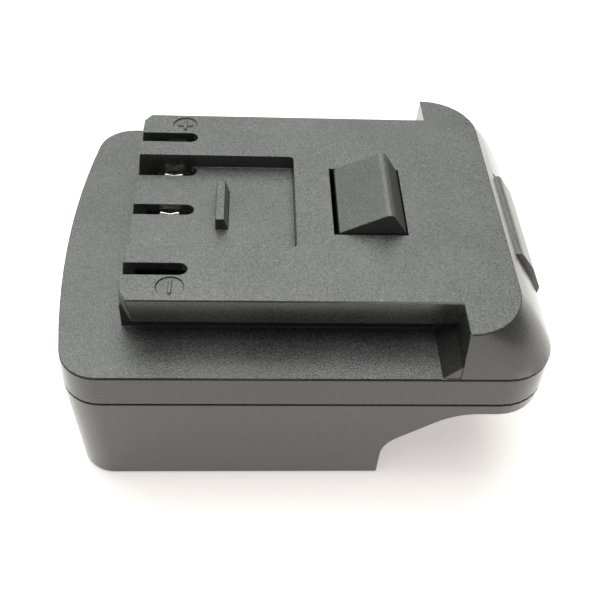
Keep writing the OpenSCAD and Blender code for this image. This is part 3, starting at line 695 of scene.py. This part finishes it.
def fit_leads():
    """Leads from the board down and round to the tabs of the blades."""
    bend_r = 5.2
    steps = 12
    bare_share = 0.07
    turns = [math.radians(90 * step / steps) for step in range(steps + 1)]
    for pole, slot in (("positive", "lead_red"), ("signal", "lead_yellow"), ("negative", "lead_black")):
        node = f"lead_{pole}"
        low, high = node_box(node)
        radius = (high.y - low.y) / 2
        y = (high.y + low.y) / 2
        top_x = high.x - radius
        floor_z = low.z + radius
        bend = [(top_x - bend_r * (1 - math.cos(a)), y, floor_z + bend_r * (1 - math.sin(a)))
                for a in turns]
        route = [(top_x, y, high.z), *bend, (low.x, y, floor_z)]
        sizes = {"Radius": radius * MM, "Bare share": bare_share}
        wire = lead_shape(slot).grown(f"wire_{pole}", points_at(f"route_{pole}", route, linked=True), sizes)
        stands_for(wire, node)


def fit_chips():
    """The chip resistors on the board."""
    boxes = solid_boxes("id_resistors")
    places = [middle_at(low, high, low.z) for low, high in boxes]
    low, high = boxes[0]
    size = (high - low) * MM
    sizes = {"Width": size.x, "Length": size.y, "Height": size.z}
    stands_for(chip_shape().grown("chips", points_at("chip_places", places), sizes), "id_resistors")


def contact_clip(pole):
    """A sprung clip of one strip: two leaves that bow in to a throat and flare at the lips and ends."""
    thickness = 0.36
    bow = 0.6
    taper = 0.4
    throat_at = 0.52
    # One leaf from the middle of the strip up to its lip: sideways as a share of half the width,
    # upwards as a share of the height
    leaf = [(0, 0.03), (0.5, 0.03), (0.74, 0.1), (0.8, 0.5),
            (0.46, 0.78), (0.44, 0.86), (0.66, 0.92), (0.94, 0.97)]
    # Where along the strip its leaves are drawn
    stations = [0, 0.05, 0.28, 0.5, 0.6, 0.8, 0.95, 1]
    node = f"contact_{pole}"
    name = f"clip_{pole}"
    low, high = node_box(node)
    half = (high.y - low.y) / 2
    middle = (low.x + high.x) / 2
    outline = [(-side, rise) for side, rise in reversed(leaf[1:])] + leaf
    shape = bmesh.new()
    rows = []
    for share in stations:
        x = low.x + share * (high.x - low.x)
        apart = abs(share - throat_at) / max(throat_at, 1 - throat_at)
        row = []
        for side, rise in outline:
            narrowed = middle + (x - middle) * (1 - taper * rise ** 2)
            y = low.y + half + half * side * (1 - bow * (1 - apart) * rise)
            row.append(shape.verts.new(Vector((narrowed, y, low.z + rise * (high.z - low.z))) * MM))
        rows.append(row)
    for near, far in zip(rows, rows[1:]):
        for step in range(len(outline) - 1):
            shape.faces.new((near[step], far[step], far[step + 1], near[step + 1]))
    mesh = bpy.data.meshes.new(name)
    shape.to_mesh(mesh)
    shape.free()
    mesh.shade_smooth()
    mesh.materials.append(finishes["contact_metal"])
    clip = new_object(name, mesh)
    sheet = clip.modifiers.new("sheet", "SOLIDIFY")
    sheet.thickness = thickness * MM
    sheet.offset = 0
    bent = clip.modifiers.new("bent", "SUBSURF")
    bent.levels = 3
    bent.render_levels = 3
    return stands_for(made_plain(clip), node)


# Studio

def white_floor():
    """Floor that stays white to the eye and in reflections, and keeps the shadow."""
    eye_lift = 0.44
    shine_lift = 0.71
    side = 6
    paper_shade, paper_light = (0.88, 0.85, 0.83, 1), (0.91, 0.88, 0.86, 1)
    warm_white = (1.05, 0.99, 0.96, 1)
    shape = bmesh.new()
    bmesh.ops.create_grid(shape, x_segments=1, y_segments=1, size=side / 2)
    mesh = bpy.data.meshes.new("floor")
    shape.to_mesh(mesh)
    shape.free()
    floor = new_object("floor", mesh)
    f = Finish("white_floor")
    paper = f.mixed(f.noise(3 * MM), paper_shade, paper_light)
    diffuse = f.node("ShaderNodeBsdfDiffuse", {}, {"Color": paper})
    rays = ("Is Camera Ray", "Is Glossy Ray", "Is Transmission Ray")
    eye, shine, through = [f.node("ShaderNodeLightPath", output=ray) for ray in rays]
    strength = eye_lift * eye + shine_lift * (shine + through).clamped()
    glow = f.node("ShaderNodeEmission", {}, {"Color": warm_white, "Strength": strength})
    both = f.node("ShaderNodeAddShader", {}, [diffuse, glow])
    f.node("ShaderNodeOutputMaterial", {}, {"Surface": both})
    mesh.materials.append(f.material)


def white_world():
    """Soft grey light from all round, white where the camera looks past the floor."""
    ambient = 0.25
    world = bpy.data.worlds.new("studio")
    bpy.context.scene.world = world
    world.use_nodes = True
    g = Graph(world.node_tree)
    camera_ray = g.node("ShaderNodeLightPath", output="Is Camera Ray")
    strength = ambient + (1 - ambient) * camera_ray
    sky = g.node("ShaderNodeBackground", {}, {"Color": grey(1), "Strength": strength})
    g.node("ShaderNodeOutputWorld", {}, {"Surface": sky})


def softbox(name, azimuth, elevation, width, height, radiance, colour=(1, 1, 1)):
    """A large flat light that looks at the object. Azimuth 0 is on the +Y side."""
    distance = 0.9
    a = math.radians(azimuth)
    e = math.radians(elevation)
    out = Vector((math.sin(a) * math.cos(e), math.cos(a) * math.cos(e), math.sin(e)))
    light = bpy.data.lights.new(name, "AREA")
    light.shape = "RECTANGLE"
    light.size = width
    light.size_y = height
    light.energy = math.pi * width * height * radiance
    light.color = colour
    lamp = new_object(name, light)
    lamp.location = out * distance
    lamp.rotation_mode = "QUATERNION"
    lamp.rotation_quaternion = (-out).to_track_quat("-Z", "Y")


def photo_camera():
    """The photograph's viewpoint, found from the object's straight edges."""
    place = Vector((-11.05, -141.31, 167.91)) * MM
    aim = Vector((0.1, -5.81, 21.23)) * MM
    roll = math.radians(3.976)
    data = bpy.data.cameras.new("camera")
    data.sensor_width = 36
    data.lens = 51.43
    data.clip_start = 0.01
    camera = new_object("camera", data)
    camera.location = place
    camera.rotation_mode = "QUATERNION"
    level = (aim - place).to_track_quat("-Z", "Y")
    camera.rotation_quaternion = level @ Quaternion((0, 0, 1), roll)
    bpy.context.scene.camera = camera


edge_rounded("upper_shell", "upper_case", radius=0.2 * MM)
edge_rounded("lower_shell", "lower_case", radius=0.2 * MM)
edge_rounded("latch_rocker", "release_latch", radius=0.2 * MM)
edge_rounded("terminal_board", "circuit_board", radius=0.08 * MM, segments=2)
edge_rounded("blade_block", "blade_holder", radius=0.25 * MM)
for pole in ("positive", "signal", "negative"):
    edge_rounded(f"tongue_{pole}", f"blade_{pole}", radius=0.12 * MM, segments=2)
fit_screws()
fit_springs()
fit_leads()
fit_chips()
for pole in ("positive", "signal_a", "signal_b", "negative"):
    contact_clip(pole)

white_floor()
white_world()
softbox("back_softbox", azimuth=-22, elevation=53, width=1.4, height=0.8, radiance=1.8,
        colour=(0.95, 1, 0.92))
softbox("top_softbox", azimuth=-4, elevation=79, width=0.7, height=0.56, radiance=3.6,
        colour=(0.97, 1, 0.95))
softbox("front_softbox", azimuth=180, elevation=77, width=0.9, height=0.4, radiance=1.6)
photo_camera()
bpy.context.scene.view_settings.view_transform = "Standard"
